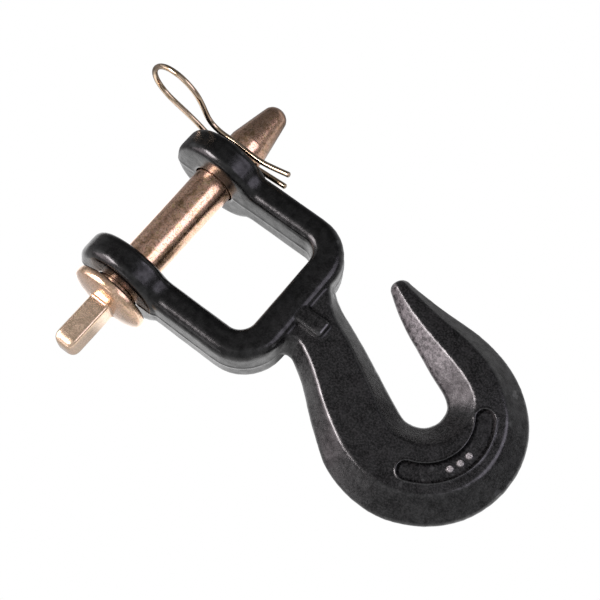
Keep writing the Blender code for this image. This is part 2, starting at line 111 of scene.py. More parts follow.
# Marking recess: its walls, the low rim round it, the walls' feet, and the finer mesh there.
RECESS_SLOPE = 0.50 * MM
RIM_HEIGHT = 0.20 * MM
RIM_WIDTH = 0.65 * MM
RIM_RISE = (-0.5 * RECESS_SLOPE, 0.10 * MM)
RIM_FALL = (0.20 * MM, RIM_WIDTH)
RIM_BLEND = (RIM_WIDTH, 1.5 * RIM_WIDTH)
FOOT_RISE = (-2.4 * RECESS_SLOPE, -1.3 * RECESS_SLOPE)
FOOT_FALL = (-0.4 * RECESS_SLOPE, 0.2 * RECESS_SLOPE)
PIP_TOP_SHARE = 0.60
FINE_REACH = 0.9 * MM
FINE_PIP_REACH = 0.3 * MM
UNDER_RECESS_Z = HOOK_FACE_Z - RECESS_DEPTH - 0.4 * MM

# Painted sheen, lighter where the point's inner slope faces the light: the way it faces, where it
# begins and fades, and how much of it reaches the bowl, the lower part of the slope and the
# underside.
SHEEN_FACING = math.radians(63.0)
SHEEN_COSINES = (0.40, 0.60)
SHEEN_LEAST_X = BOWL_CENTRE[0] - 32.0 * MM
SHEEN_FADE_X = (45.0 * MM, 57.0 * MM)
SHEEN_BOWL_LOSS = 0.85
SHEEN_FADE_Y = (1.0 * MM, 6.0 * MM)
SHEEN_UPPER_Z = (0.2 * MM, 2.8 * MM)
SHEEN_LOWER_SHARE = 0.65
SHEEN_UNDER_Z = (-1.2 * MM, 0.2 * MM)
SHEEN_UNDER_SHARE = 0.25

# The pin's round parts, and how near to the true round a point must lie to be put on it.
ROUND_FROM_COLLAR = 1.0 * MM
ROUND_TO_NOSE = 0.6 * MM
ROUND_REACH = 0.16 * MM
ROUND_CLEAR_OF_HOLE = 0.55 * MM

# The clip's wire, and how much thinner it gets over the last stretch of each end.
CLIP_STATIONS = 420
WIRE_SIDES = 24
WIRE_INSET = 0.005 * MM
WIRE_END_LENGTH = 0.32 * MM
WIRE_END_LOSS = 0.30
SHARP_ANGLE = math.radians(50.0)

# Black paint, blacker on the fork than on the hook.
HOLLOW_BLACK = (0.0004, 0.0004, 0.0004)
GRAIN_BLACK = (0.0270, 0.0262, 0.0266)
PATCH_DARK = (0.0006, 0.0006, 0.0007)
PATCH_LIGHT = (0.0090, 0.0086, 0.0090)
GLINT_GREY = (0.050, 0.049, 0.052)
FORK_BLACK = (0.0008, 0.0008, 0.0008)
FORK_END_X = 8.0 * MM
FORK_END_FADE = 6.0 * MM
WORN_GREY = (0.060, 0.059, 0.062)
RUBBED_STEEL = (0.42, 0.40, 0.40)
# Painted sheen on the point's inner slope, in the lamps' pinkish tint.
SHEEN_GREY = (0.165, 0.152, 0.157)

# Yellow chromate on the pin and the clip.
BLOOM_COLOURS = ((0.36, (0.52, 0.31, 0.15)), (0.45, (0.84, 0.50, 0.31)),
                 (0.54, (1.0, 0.58, 0.43)), (0.64, (0.80, 0.55, 0.28)))
CLOUD_GOLD = (0.95, 0.66, 0.50)
SPECK_BROWN = (0.22, 0.13, 0.07)
HEAD_GOLD = (0.66, 0.50, 0.33)
TAB_GOLD = (0.95, 0.78, 0.58)
TAB_START_Y = COLLAR_FACE_Y - 6.0 * MM
NOSE_GOLD = (0.34, 0.22, 0.14)
NOSE_DARK_Y = TAPER_START_Y + 3.0 * MM
ZONE_FADE = 1.0 * MM
NOSE_FADE = 4.0 * MM
WIRE_COLOURS = ((0.32, (0.40, 0.29, 0.18)), (0.52, (0.58, 0.45, 0.32)),
                (0.70, (0.66, 0.49, 0.38)))
WIRE_SPECK = (0.22, 0.16, 0.10)

# Floor: a sheet from under the ears to under the bowl.
FLOOR_HALF_SIZE = 2.0
FLOOR_SEGMENTS = 24
FLOOR_GAP = 0.05 * MM
FLOOR_BOWL_X = 72.0 * MM
FLOOR_GREY = (0.08, 0.08, 0.08, 1.0)

# Light that the floor sends up, in the sheet's own X (from the pin axis) and Y.
POOL_GLOW = 1.45
POOL_DIM = 0.12
POOL_FRONT_Y = -36.0 * MM
POOL_FRONT_SHARE = 0.50
POOL_FRONT_X = 16.0 * MM
POOL_COLLAR_SHARE = 0.22
POOL_BACK_Y = 22.0 * MM
POOL_BACK_SHARE = 0.30
POOL_FADE = 5.0 * MM
POOL_LEFT_POINT = (-42.0 * MM, 8.0 * MM, 0.0)
POOL_LEFT_NORMAL = (0.60, -0.80, 0.0)
POOL_LEFT_END_X = 35.0 * MM
POOL_MIDDLE = (80.0 * MM, 0.0, 0.0)
POOL_REACH = 150.0 * MM
POOL_REACH_FADE = 30.0 * MM
POOL_FAR_SHARE = 0.40
SHADOW_CENTRE = (40.0 * MM, -5.0 * MM, 0.0)
SHADOW_REACH = (20.0 * MM, 11.0 * MM, 1.0)
SHADOW_FADE = 0.35

# Room light: the least everywhere, then glows as (direction, cosine where it starts, cosine where
# it is full, amount) in front, overhead, on the left and behind.
ROOM_COLOUR = (0.97, 0.98, 1.0, 1.0)
ROOM_DIM = 0.12
ROOM_GLOWS = (
    ((0.45, -0.85, 0.30), 0.0, 0.80, 0.40),
    ((0.0, 0.0, 1.0), 0.70, 0.92, 0.16),
    ((-0.93, -0.30, 0.20), 0.75, 0.97, 0.60),
    ((0.35, 0.93, 0.02), 0.80, 0.97, 0.35),
)
WHITE = (1.0, 1.0, 1.0, 1.0)
WHITE_STRENGTH = 1.02

# Lamps: name, direction, distance, width, height, radiance, colour.
LAMPS = (
    ("right_softbox", (0.58, 0.36, 0.73), 0.55, 0.36, 0.34, 2.3, (0.90, 0.84, 1.0)),
    ("low_strip", (-0.72, -0.62, 0.31), 0.60, 0.36, 0.36, 2.5, (1.0, 0.84, 0.89)),
    ("left_lamp", (-0.58, -0.43, 0.69), 0.55, 0.30, 0.18, 18.0, (1.0, 0.92, 0.94)),
    ("front_lamp", (-0.25, -0.955, 0.14), 0.55, 0.20, 0.12, 2.0, (1.0, 0.95, 0.97)),
)

# Camera: fitted to the photograph's viewpoint.
LOOK_AT = Vector((3.843 * MM, 3.409 * MM, 0.0))
CAMERA_DISTANCE = 352.79 * MM
CAMERA_AZIMUTH = math.radians(38.397)
CAMERA_ELEVATION = math.radians(66.91)
CAMERA_ROLL = math.radians(-0.144)
CAMERA_LENS = 73.73
CAMERA_NEAR = 10.0 * MM
SENSOR_WIDTH = 36.0


# ---------------------------------------------------------------- shader helpers

class Nodes:
    """The node tree of a material or of the world, with short calls to add and join nodes."""

    def __init__(self, owner, shader="Principled BSDF", coordinate="Object"):
        self.owner = owner
        owner.use_nodes = True
        self.tree = owner.node_tree
        self.shader = self.tree.nodes[shader]
        self.place = self.add("ShaderNodeTexCoord").outputs[coordinate]

    def add(self, kind, **settings):
        made = self.tree.nodes.new(kind)
        for key, value in settings.items():
            setattr(made, key, value)
        return made

    def join(self, source, target):
        self.tree.links.new(source, target)

    def feed(self, value, socket):
        """Give a socket a number or a colour, or join it to another socket."""
        if isinstance(value, bpy.types.NodeSocket):
            self.join(value, socket)
        elif isinstance(value, tuple):
            socket.default_value = (*value, 1.0)
        else:
            socket.default_value = value

    def axis(self, name):
        """One coordinate of the place, X, Y or Z."""
        parts = self.add("ShaderNodeSeparateXYZ")
        self.join(self.place, parts.inputs[0])
        return parts.outputs[name]

    def attribute(self, name):
        """A value stored at each of the mesh's points."""
        return self.add("ShaderNodeAttribute", attribute_name=name).outputs["Fac"]

    def noise(self, size, detail=3.0, roughness=0.55, stretch=(1.0, 1.0, 1.0), offset=0.0,
              distortion=0.0):
        """Noise with features about size metres across, from 0 to 1 about 0.5."""
        mapping = self.add("ShaderNodeMapping")
        mapping.inputs["Scale"].default_value = stretch
        mapping.inputs["Location"].default_value = (offset, offset * 0.7, -offset * 0.4)
        self.join(self.place, mapping.inputs["Vector"])
        made = self.add("ShaderNodeTexNoise")
        made.inputs["Scale"].default_value = 1.0 / size
        made.inputs["Detail"].default_value = detail
        made.inputs["Roughness"].default_value = roughness
        made.inputs["Distortion"].default_value = distortion
        self.join(mapping.outputs["Vector"], made.inputs["Vector"])
        return made.outputs["Fac"]

    def ramp(self, source, *stops):
        """Colour ramp with stops of (position, value or colour)."""
        made = self.add("ShaderNodeValToRGB")
        elements = made.color_ramp.elements
        while len(elements) < len(stops):
            elements.new(0.5)
        for element, (position, value) in zip(elements, stops):
            element.position = position
            colour = value if isinstance(value, tuple) else (value, value, value)
            element.color = (*colour, 1.0)
        self.join(source, made.inputs["Fac"])
        return made.outputs["Color"]

    def mix(self, share, first, second):
        made = self.add("ShaderNodeMix", data_type="RGBA")
        self.feed(share, made.inputs[0])
        self.feed(first, made.inputs[6])
        self.feed(second, made.inputs[7])
        return made.outputs[2]

    def tint(self, tone, colour, mask, amount):
        """Bring a tone towards a colour, by mask times amount."""
        return self.mix(self.maths("MULTIPLY", mask, amount), tone, colour)

    def rise(self, source, start, end, top=1.0):
        """Smooth rise from 0 at start to top at end."""
        made = self.add("ShaderNodeMapRange", interpolation_type="SMOOTHSTEP")
        made.inputs["From Min"].default_value = start
        made.inputs["From Max"].default_value = end
        made.inputs["To Max"].default_value = top
        self.join(source, made.inputs["Value"])
        return made.outputs["Result"]

    def fade(self, source, edge, width):
        """Smooth rise from 0 to 1 over width either side of edge."""
        return self.rise(source, edge - width, edge + width)

    def maths(self, operation, *values):
        made = self.add("ShaderNodeMath", operation=operation)
        for value, socket in zip(values, made.inputs):
            self.feed(value, socket)
        return made.outputs[0]

    def between(self, mask, first, second):
        """A number that goes from first to second as mask goes from 0 to 1."""
        return self.maths("MULTIPLY_ADD", mask, second - first, first)

    def vector_maths(self, operation, first, second=None, output="Vector"):
        made = self.add("ShaderNodeVectorMath", operation=operation)
        self.join(first, made.inputs[0])
        if second is not None:
            made.inputs[1].default_value = second
        return made.outputs[output]

    def bump(self, height, strength, distance, normal=None):
        made = self.add("ShaderNodeBump")
        self.feed(strength, made.inputs["Strength"])
        made.inputs["Distance"].default_value = distance
        self.join(height, made.inputs["Height"])
        if normal is not None:
            self.join(normal, made.inputs["Normal"])
        return made.outputs["Normal"]

    def show(self, to_camera, to_object, output):
        """Show one shader to the camera and light the object with another."""
        blend = self.add("ShaderNodeMixShader")
        self.join(self.add("ShaderNodeLightPath").outputs["Is Camera Ray"], blend.inputs[0])
        self.join(to_object, blend.inputs[1])
        self.join(to_camera, blend.inputs[2])
        self.join(blend.outputs[0], self.tree.nodes[output].inputs["Surface"])


# ---------------------------------------------------------------- the three finishes

def black_forging():
    """Semi-gloss black paint over forged steel: fine grain, dull patches, edges worn greyer."""
    n = Nodes(bpy.data.materials.new("black_forging_finish"))
    grain = n.noise(0.55 * MM, detail=4.0, roughness=0.62)
    patches = n.noise(5.5 * MM, detail=3.0, offset=0.013)
    speck = n.noise(0.28 * MM, detail=2.0, roughness=0.7, offset=0.031)
    tone = n.mix(0.4, n.ramp(grain, (0.44, HOLLOW_BLACK), (0.62, GRAIN_BLACK)),
                 n.ramp(patches, (0.38, PATCH_DARK), (0.65, PATCH_LIGHT)))
    tone = n.tint(tone, GLINT_GREY, n.ramp(speck, (0.66, 0.0), (0.76, 1.0)), 0.35)
    # The fork is blacker and smoother than the hook.
    on_hook = n.fade(n.axis("X"), FORK_END_X, FORK_END_FADE)
    tone = n.mix(n.between(on_hook, 0.90, 0.0), tone, FORK_BLACK)
    # Edges are worn, the pips are rubbed to steel, and the point's inner slope gets a painted
    # sheen.
    pointiness = n.add("ShaderNodeNewGeometry").outputs["Pointiness"]
    edge = n.ramp(pointiness, (0.518, 0.0), (0.560, 1.0))
    worn = n.maths("MULTIPLY", edge, n.ramp(patches, (0.36, 0.35), (0.60, 1.0)))
    tone = n.tint(tone, WORN_GREY, worn, 0.40)
    tone = n.tint(tone, RUBBED_STEEL, n.attribute("rubbed"),
                  n.ramp(speck, (0.40, 0.15), (0.56, 1.0)))
    # Painted sheen: the point's inner slope is lightened where it faces the light, broken up in
    # streaks.
    sheen_breakup = n.noise(1.1 * MM, detail=5.0, roughness=0.75, offset=0.083)
    tone = n.tint(tone, SHEEN_GREY, n.attribute("painted_sheen"),
                  n.ramp(sheen_breakup, (0.43, 0.12), (0.57, 1.0)))
    n.join(tone, n.shader.inputs["Base Color"])
    # Handling has polished the outer edges.
    polished = n.ramp(pointiness, (0.506, 0.0), (0.525, 1.0))
    rough = n.mix(0.5, n.ramp(grain, (0.30, 0.22), (0.72, 0.36)),
                  n.ramp(patches, (0.30, 0.22), (0.70, 0.32)))
    rough = n.maths("MULTIPLY", rough, n.between(polished, 1.0, 0.50))
    n.join(rough, n.shader.inputs["Roughness"])
    # Painted shade: inner corners and the recess's wall feet lose their shine,
    # so recesses and fillets read as dark lines.
    corner = n.ramp(pointiness, (0.455, 0.04), (0.492, 1.0))
    corner = n.maths("MULTIPLY", corner, n.between(n.attribute("recess_foot_shade"), 1.0, 0.05))
    blotches = n.noise(2.4 * MM, detail=4.0, roughness=0.65, offset=0.061)
    shine = n.ramp(blotches, (0.38, 0.30), (0.62, 0.64))
    shine = n.maths("MULTIPLY_ADD", polished, 0.55, shine)
    shine = n.maths("MULTIPLY", shine, n.between(on_hook, 0.80, 1.0))
    n.join(n.maths("MULTIPLY", corner, shine), n.shader.inputs["Specular IOR Level"])
    waves = n.bump(n.noise(2.6 * MM, detail=2.0, offset=0.007), 0.35, 0.10 * MM)
    coarse = n.maths("MULTIPLY", n.between(on_hook, 0.35, 0.90), n.between(polished, 1.0, 0.12))
    n.join(n.bump(grain, coarse, 0.060 * MM, waves), n.shader.inputs["Normal"])
    return n.owner


def yellow_zinc():
    """Yellow chromate over turned steel: gold with rosy and olive bloom, fine turning lines."""
    n = Nodes(bpy.data.materials.new("yellow_zinc_finish"))
    bloom = n.noise(2.6 * MM, detail=4.0, roughness=0.62, distortion=0.8)
    cloud = n.noise(0.95 * MM, detail=4.0, roughness=0.68, offset=0.021)
    speck = n.noise(0.45 * MM, detail=3.0, roughness=0.7, offset=0.043)
    gold = n.ramp(bloom, *BLOOM_COLOURS)
    gold = n.tint(gold, CLOUD_GOLD, n.ramp(cloud, (0.51, 0.0), (0.58, 1.0)), 0.65)
    gold = n.tint(gold, SPECK_BROWN, n.ramp(speck, (0.40, 1.0), (0.49, 0.0)), 0.75)
    # The collar and tab are paler and yellower, and the nose is darker.
    along = n.axis("Y")
    head = n.maths("SUBTRACT", 1.0, n.fade(along, COLLAR_FACE_Y, ZONE_FADE))
    tab = n.maths("SUBTRACT", 1.0, n.fade(along, TAB_START_Y, ZONE_FADE))
    gold = n.tint(gold, HEAD_GOLD, head, 0.40)
    gold = n.tint(gold, TAB_GOLD, tab, 0.35)
    gold = n.tint(gold, NOSE_GOLD, n.fade(along, NOSE_DARK_Y, NOSE_FADE), 0.30)
    n.join(gold, n.shader.inputs["Base Color"])
    n.shader.inputs["Metallic"].default_value = 1.0
    n.shader.inputs["Coat Weight"].default_value = 1.0
    n.shader.inputs["Coat IOR"].default_value = 1.5
    n.shader.inputs["Coat Roughness"].default_value = 0.12
    rough = n.mix(0.45, n.ramp(bloom, (0.30, 0.18), (0.70, 0.27)),
                  n.ramp(cloud, (0.35, 0.16), (0.70, 0.34)))
    n.join(n.maths("MULTIPLY_ADD", head, 0.04, rough), n.shader.inputs["Roughness"])
    lines = n.noise(0.9 * MM, detail=3.0, roughness=0.6, stretch=(0.12, 3.2, 0.12), offset=0.017)
    turned = n.bump(lines, 0.22, 0.020 * MM)
    pitted = n.bump(cloud, n.between(head, 0.45, 0.15), 0.040 * MM, turned)
    n.join(pitted, n.shader.inputs["Normal"])
    return n.owner


def spring_wire():
    """Plated spring wire: drawn smooth, with darker patches of chromate."""
    n = Nodes(bpy.data.materials.new("spring_wire_finish"))
    bloom = n.noise(2.6 * MM, detail=3.0, offset=0.051)
    speck = n.noise(0.40 * MM, detail=3.0, roughness=0.7, offset=0.037)
    gold = n.ramp(bloom, *WIRE_COLOURS)
    gold = n.tint(gold, WIRE_SPECK, n.ramp(speck, (0.30, 1.0), (0.44, 0.0)), 0.4)
    n.join(gold, n.shader.inputs["Base Color"])
    n.shader.inputs["Metallic"].default_value = 1.0
    n.join(n.ramp(speck, (0.30, 0.08), (0.70, 0.15)), n.shader.inputs["Roughness"])
    n.join(n.bump(speck, 0.20, 0.012 * MM), n.shader.inputs["Normal"])
    return n.owner


# ---------------------------------------------------------------- geometry helpers

def smooth_step(value, low, high):
    share = np.clip((value - low) / (high - low), 0.0, 1.0)
    return share * share * (3.0 - 2.0 * share)


def new_object(name, data):
    made = bpy.data.objects.new(name, data)
    bpy.context.scene.collection.objects.link(made)
    return made


def remeshed_copy(node, name, voxel, smoothing):
    """A fine, even copy of a CAD node with its edges and corners softened, as a new object."""
    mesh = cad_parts[node].data.copy()
    mesh.materials.clear()
    builder = bmesh.new()
    builder.from_mesh(mesh)
    bmesh.ops.remove_doubles(builder, verts=builder.verts, dist=WELD_DISTANCE)
    builder.to_mesh(mesh)
    builder.free()
    piece = new_object(name, mesh)
    remesh = piece.modifiers.new("remesh", "REMESH")
    remesh.mode = "VOXEL"
    remesh.voxel_size = voxel
    soften = piece.modifiers.new("soften", "SMOOTH")
    soften.factor = 0.5
    soften.iterations = smoothing
    freeze(piece)
    return piece


def thin_out(piece, most_faces):
    """Thin a mesh out to most_faces triangles, where it is flattest first."""
    triangles = sum(len(face.vertices) - 2 for face in piece.data.polygons)
    if triangles > most_faces:
        thin = piece.modifiers.new("thin", "DECIMATE")
        thin.ratio = most_faces / triangles
        freeze(piece)


def freeze(piece):
    """Apply an object's modifiers to its mesh."""
    bpy.context.view_layer.update()
    graph = bpy.context.evaluated_depsgraph_get()
    result = bpy.data.meshes.new_from_object(piece.evaluated_get(graph))
    piece.modifiers.clear()
    piece.data = result
    piece.data.shade_smooth()


def points_of(mesh):
    points = np.empty(len(mesh.vertices) * 3)
    mesh.vertices.foreach_get("co", points)
    return points.reshape(-1, 3)


def normals_of(mesh):
    normals = np.empty(len(mesh.vertices) * 3)
    mesh.vertex_normals.foreach_get("vector", normals)
    return normals.reshape(-1, 3)


def set_points(mesh, points):
    mesh.vertices.foreach_set("co", points.ravel())
    mesh.update()


def store(mesh, name, values):
    """Keep a value at each of a mesh's points, for its material."""
    mesh.attributes.new(name, "FLOAT", "POINT").data.foreach_set("value", values)


def noise_field(points, size, seed):
    """Smooth noise from about -1 to 1 at each point, with features about size metres across."""
    shift = Vector((seed * 3.1, seed * 1.7, seed * 2.3))
    return np.array([noise.noise(Vector(point) / size + shift) for point in points])


def keep_inside(points, node):
    low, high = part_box(node)
    return np.clip(points, np.array(low), np.array(high))


def natural_spline(knots, values, at):
    """Natural cubic spline through values at knots."""
    gaps = np.diff(knots)
    slopes = np.diff(values, axis=0) / gaps[:, None]
    system = np.eye(len(knots))
    right = np.zeros_like(values)
    for row in range(1, len(knots) - 1):
        before, after = gaps[row - 1], gaps[row]
        system[row, row - 1:row + 2] = (before, 2 * (before + after), after)
        right[row] = 6 * (slopes[row] - slopes[row - 1])
    bend = np.linalg.solve(system, right)
    span = np.clip(np.searchsorted(knots, at, side="right") - 1, 0, len(gaps) - 1)
    gap = gaps[span][:, None]
    left = (knots[span + 1] - at)[:, None] / gap
    ahead = (at - knots[span])[:, None] / gap
    straight = left * values[span] + ahead * values[span + 1]
    bent = (left ** 3 - left) * bend[span] + (ahead ** 3 - ahead) * bend[span + 1]
    return straight + bent * gap ** 2 / 6


def relax(builder, verts):
    """Move each vertex half way to the middle of its neighbours."""
    bmesh.ops.smooth_vert(builder, verts=verts, factor=0.5,
                          use_axis_x=True, use_axis_y=True, use_axis_z=True)


def refine(piece, chosen_by, rounds):
    """Halve the edges whose ends are both chosen, even them out and flatten folded faces."""
    builder = bmesh.new()
    for _ in range(rounds):
        builder.from_mesh(piece.data)
        builder.edges.ensure_lookup_table()
        chosen = chosen_by(points_of(piece.data))
        edges = [edge for edge in builder.edges
                 if chosen[edge.verts[0].index] and chosen[edge.verts[1].index]]
        bmesh.ops.subdivide_edges(builder, edges=edges, cuts=1)
        many_sided = [face for face in builder.faces if len(face.verts) > 3]
        bmesh.ops.triangulate(builder, faces=many_sided)
        builder.to_mesh(piece.data)
        builder.clear()
    builder.from_mesh(piece.data)
    builder.verts.ensure_lookup_table()
    chosen = chosen_by(points_of(piece.data))
    verts = [builder.verts[index] for index in np.flatnonzero(chosen)]
    for _ in range(REFINE_SMOOTHING):
        relax(builder, verts)
    for _ in range(FOLD_ROUNDS):
        folded = {vert for edge in builder.edges if edge.calc_face_angle(0.0) > FOLD_ANGLE
                  for vert in edge.verts}
        if not folded:
            break
        relax(builder, sorted(folded, key=lambda vert: vert.index))
    builder.to_mesh(piece.data)
    builder.free()
    piece.data.shade_smooth()


# ---------------------------------------------------------------- the forging

def forged_skin(points, normals):
    """How far each point stands out: slightly uneven, with a torn flash line, true in the bores."""
    uneven = sum(height * noise_field(points, size, seed) for height, size, seed in WAVES)
    wall = 1.0 - smooth_step(np.abs(normals[:, 2]), *WALL_NORMAL)
    wander = FLASH_WANDER * noise_field(points, FLASH_WANDER_SIZE, 3)
    ridge = 1.0 - smooth_step(np.abs(points[:, 2] - wander), *FLASH_EDGE)
    torn = 1.0 + FLASH_TORN * noise_field(points, FLASH_TORN_SIZE, 4)
    from_axis = points - np.array((PIN_AXIS_X, 0.0, 0.0))
    radial = np.hypot(from_axis[:, 0], from_axis[:, 2])
    off_bore = smooth_step(radial, BORE_RADIUS + BORE_CLEAR, BORE_RADIUS + BORE_CLEAR_FULL)
    return (uneven * MM + FLASH_HEIGHT * ridge * wall * torn) * off_bore


def recess_distances(points):
    """Distance from the recess's middle line, and from the nearest pip's axis, at each point."""
    x = points[:, 0] - BOWL_CENTRE[0]
    y = points[:, 1] - BOWL_CENTRE[1]
    angle = np.clip(np.arctan2(y, x), RECESS_START, RECESS_END)
    from_line = np.hypot(x - RECESS_RADIUS * np.cos(angle), y - RECESS_RADIUS * np.sin(angle))
    from_pip = np.full(len(points), np.inf)
    for degrees in PIP_ANGLES:
        pip = math.radians(degrees)
        apart = np.hypot(x - RECESS_RADIUS * math.cos(pip), y - RECESS_RADIUS * math.sin(pip))
        from_pip = np.minimum(from_pip, apart)
    return from_line, from_pip


def near_recess_lines(points):
    """Which points lie close to the recess's outline or on a pip, on the upper face."""
    from_line, from_pip = recess_distances(points)
    by_outline = np.abs(from_line - RECESS_WIDTH / 2) < FINE_REACH
    by_pip = from_pip < PIP_RADIUS + FINE_PIP_REACH
    return (points[:, 2] > UNDER_RECESS_Z) & (by_outline | by_pip)


def sharpen_recess(points):
    """Give the recess its crisp walls and low rim; returns pip tops and wall feet, 0 to 1."""
    from_line, from_pip = recess_distances(points)
    brink = from_line - RECESS_WIDTH / 2
    sunk = 1.0 - smooth_step(brink, -RECESS_SLOPE, 0.0)
    rim = smooth_step(brink, *RIM_RISE) * (1.0 - smooth_step(brink, *RIM_FALL))
    raised = 1.0 - smooth_step(from_pip, PIP_RADIUS * PIP_TOP_SHARE, PIP_RADIUS)
    target = HOOK_FACE_Z - RECESS_DEPTH * sunk + RIM_HEIGHT * rim + PIP_HEIGHT * raised * sunk
    share = (1.0 - smooth_step(brink, *RIM_BLEND)) * (points[:, 2] > UNDER_RECESS_Z)
    points[:, 2] = points[:, 2] * (1.0 - share) + target * share
    foot = smooth_step(brink, *FOOT_RISE) * (1.0 - smooth_step(brink, *FOOT_FALL))
    return raised * share, foot * share


def painted_sheen_slope(points, normals):
    """Painted sheen at each point, 0 to 1: most where the point's upper inner slope faces the
    light.
    """
    x, y, z = points.T
    inward = -(normals[:, 0] * math.cos(SHEEN_FACING) + normals[:, 1] * math.sin(SHEEN_FACING))
    on_point = smooth_step(y, *SHEEN_FADE_Y) * (x > SHEEN_LEAST_X)
    on_point *= 1.0 - SHEEN_BOWL_LOSS * smooth_step(x, *SHEEN_FADE_X)
    upward = SHEEN_LOWER_SHARE + (1.0 - SHEEN_LOWER_SHARE) * smooth_step(z, *SHEEN_UPPER_Z)
    upward *= SHEEN_UNDER_SHARE + (1.0 - SHEEN_UNDER_SHARE) * smooth_step(z, *SHEEN_UNDER_Z)
    return smooth_step(inward, *SHEEN_COSINES) * on_point * upward


def forging_piece():
    """The one-piece forging: softened CAD shape with a forged skin and a crisp marking recess."""
    piece = remeshed_copy("hook_forging", "forged_hook_and_fork", FORGING_VOXEL,
                          FORGING_SMOOTHING)
    points = points_of(piece.data)
    normals = normals_of(piece.data)
    set_points(piece.data, points + normals * forged_skin(points, normals)[:, None])
    thin_out(piece, FORGING_FACES)
    refine(piece, near_recess_lines, REFINE_ROUNDS)
    mesh = piece.data
    points = points_of(mesh)
    normals = normals_of(mesh)
    rubbed, recess_foot_shade = sharpen_recess(points)
    set_points(mesh, keep_inside(points, "hook_forging"))
    store(mesh, "rubbed", rubbed)
    # The recess's wall feet are kept for the painted shade in the paint.
    store(mesh, "recess_foot_shade", recess_foot_shade)
    store(mesh, "painted_sheen", painted_sheen_slope(points, normals))
    mesh.materials.append(black_forging())
    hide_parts("hook_forging")
    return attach(piece, "hook")


# ---------------------------------------------------------------- the pin and the clip

def pin_radius_at(y):
    """The pin's radius beyond the collar: parallel shank, then taper."""
    taper = (PIN_RADIUS + (NOSE_RADIUS - PIN_RADIUS) * (y - TAPER_START_Y)
             / (NOSE_START_Y - TAPER_START_Y))
    return np.where(y < TAPER_START_Y, PIN_RADIUS, taper)


def pin_piece():
    """The hitch pin: softened CAD shape with its shank and taper brought back to true rounds."""
    piece = remeshed_copy("hitch_pin", "plated_hitch_pin", PIN_VOXEL, PIN_SMOOTHING)
    points = points_of(piece.data)
    x = points[:, 0] - PIN_AXIS_X
    y = points[:, 1]
    z = points[:, 2]
    radial = np.hypot(x, z)
    true_radius = pin_radius_at(y)
    from_hole = np.hypot(y - CLIP_Y, -x * math.sin(CLIP_TILT) + z * math.cos(CLIP_TILT))
    round_part = (y > COLLAR_FACE_Y + ROUND_FROM_COLLAR) & (y < NOSE_START_Y - ROUND_TO_NOSE)
    on_surface = np.abs(radial - true_radius) < ROUND_REACH
    chosen = round_part & on_surface & (from_hole > CROSS_HOLE_RADIUS + ROUND_CLEAR_OF_HOLE)
    scale = np.where(chosen, true_radius / np.maximum(radial, 1e-9), 1.0)
    points[:, 0] = PIN_AXIS_X + x * scale
    points[:, 2] = z * scale
    set_points(piece.data, keep_inside(points, "hitch_pin"))
    piece.data.materials.append(yellow_zinc())
    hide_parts("hitch_pin")
    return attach(piece, "pin")


def wire_rings():
    """Rings of points round the clip's wire, from end to end, smaller at its sheared ends."""
    route = np.array(CLIP_ROUTE) * MM
    steps = np.linalg.norm(np.diff(route, axis=0), axis=1)
    travelled = np.concatenate(([0.0], np.cumsum(steps)))
    distance = np.linspace(0.0, travelled[-1], CLIP_STATIONS)
    local = natural_spline(travelled, route, distance)
    along = np.array((math.cos(CLIP_TILT), 0.0, math.sin(CLIP_TILT)))
    up = np.array((-math.sin(CLIP_TILT), 0.0, math.cos(CLIP_TILT)))
    side = np.array((0.0, 1.0, 0.0))
    centres = (np.array((PIN_AXIS_X, CLIP_Y, 0.0)) + local[:, :1] * along
               + local[:, 1:2] * side + local[:, 2:] * up)
    tangents = np.gradient(centres, axis=0)
    tangents /= np.linalg.norm(tangents, axis=1)[:, None]
    across = np.cross(tangents, side)
    across /= np.linalg.norm(across, axis=1)[:, None]
    upright = np.cross(tangents, across)
    from_end = np.minimum(distance, travelled[-1] - distance)
    dip = np.clip(1.0 - from_end / WIRE_END_LENGTH, 0.0, 1.0)
    radii = (WIRE_RADIUS - WIRE_INSET) * (1.0 - WIRE_END_LOSS * (1.0 - np.sqrt(1.0 - dip ** 2)))
    angles = [math.tau * index / WIRE_SIDES for index in range(WIRE_SIDES)]
    return [[centre + radius * (math.cos(angle) * first + math.sin(angle) * second)
             for angle in angles]
            for centre, first, second, radius in zip(centres, across, upright, radii)]


def clip_piece():
    """The spring clip: a round wire swept along its route, with softly sheared ends."""
    builder = bmesh.new()
    rings = [[builder.verts.new(point) for point in ring] for ring in wire_rings()]
    for ring, following in zip(rings, rings[1:]):
        for index in range(WIRE_SIDES):
            after = (index + 1) % WIRE_SIDES
            builder.faces.new((ring[index], ring[after], following[after], following[index]))
    builder.faces.new(rings[0])
    builder.faces.new(rings[-1])
    bmesh.ops.recalc_face_normals(builder, faces=builder.faces)
    mesh = bpy.data.meshes.new("spring_wire_clip")
    builder.to_mesh(mesh)
    builder.free()
    mesh.shade_smooth()
    mesh.set_sharp_from_angle(angle=SHARP_ANGLE)
    piece = new_object("spring_wire_clip", mesh)
    set_points(mesh, keep_inside(points_of(mesh), "spring_clip"))
    mesh.materials.append(spring_wire())
    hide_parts("spring_clip")
    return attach(piece, "clip")


# ---------------------------------------------------------------- floor, light and camera

